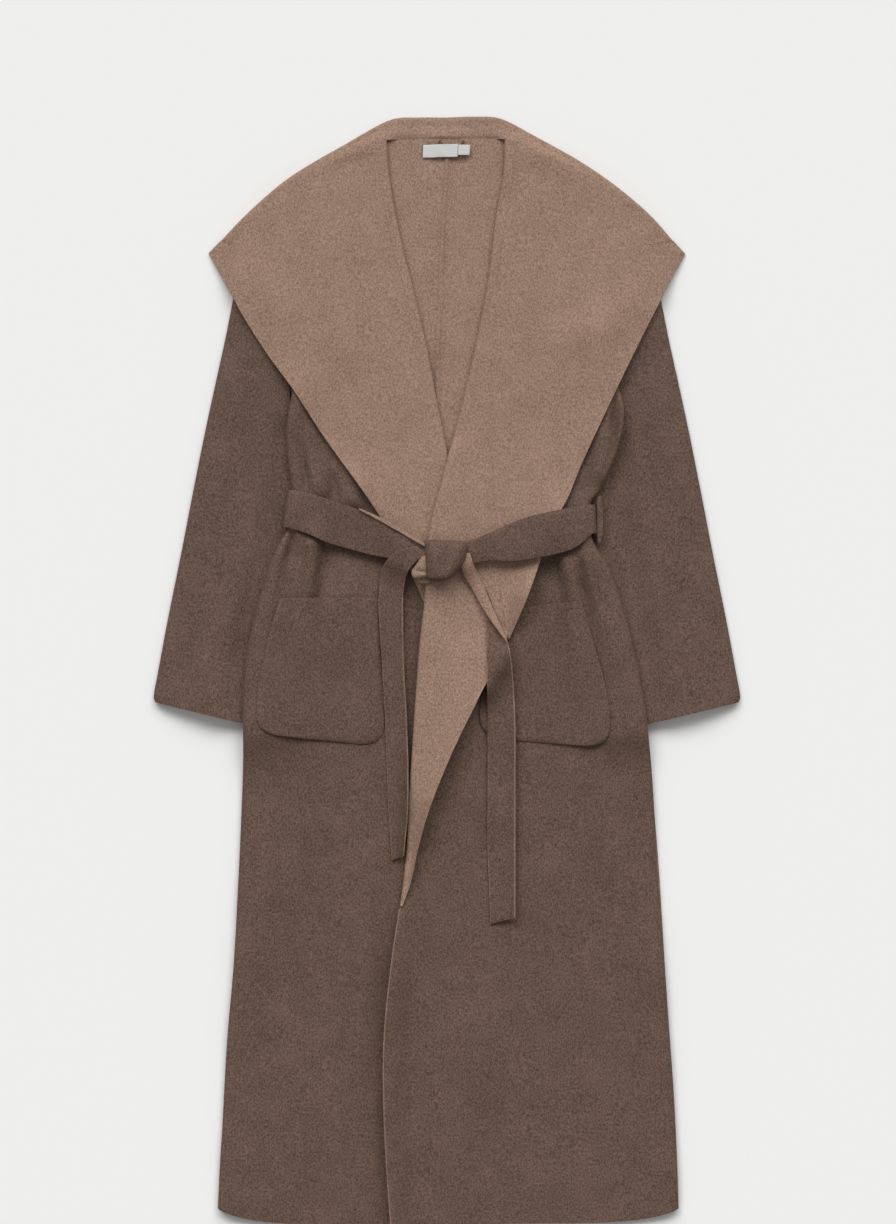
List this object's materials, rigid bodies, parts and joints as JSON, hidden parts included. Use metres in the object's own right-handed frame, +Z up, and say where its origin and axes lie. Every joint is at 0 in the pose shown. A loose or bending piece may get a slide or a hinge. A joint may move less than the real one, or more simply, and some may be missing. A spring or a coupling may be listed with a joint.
{
  "type": "belted coat",
  "caption": "Long belted coat of double-faced wool with a wide shawl collar and patch pockets, laid flat on its back with the belt tied.",
  "frame": {"origin": "centre of the bounding box, on the surface that the coat lies on", "axes": "+Y along the coat from hem to collar, +X to the wearer's left, +Z up from the surface"},
  "size_m": [0.6944, 1.307, 0.0426],
  "materials": {
    "wool_outer": "matt brushed wool",
    "wool_inner": "matt brushed wool",
    "label_cloth": "matt woven tape"
  },
  "bodies": {
    "root": {"back_left": "wool_outer", "back_right": "wool_outer", "front_left": "wool_outer", "front_right": "wool_outer", "collar_left": "wool_inner", "collar_right": "wool_inner", "sleeve_left": "wool_outer", "sleeve_right": "wool_outer", "pocket_left": "wool_outer", "pocket_right": "wool_outer", "belt_back": "wool_outer", "belt_band_left": "wool_outer", "belt_band_right": "wool_outer", "belt_knot": "wool_outer", "belt_tail_left": "wool_outer", "belt_tail_right": "wool_outer", "belt_loop_left": "wool_outer", "hanger_loop": "wool_outer", "label": "label_cloth", "size_tab": "label_cloth"}
  },
  "joints": []
}
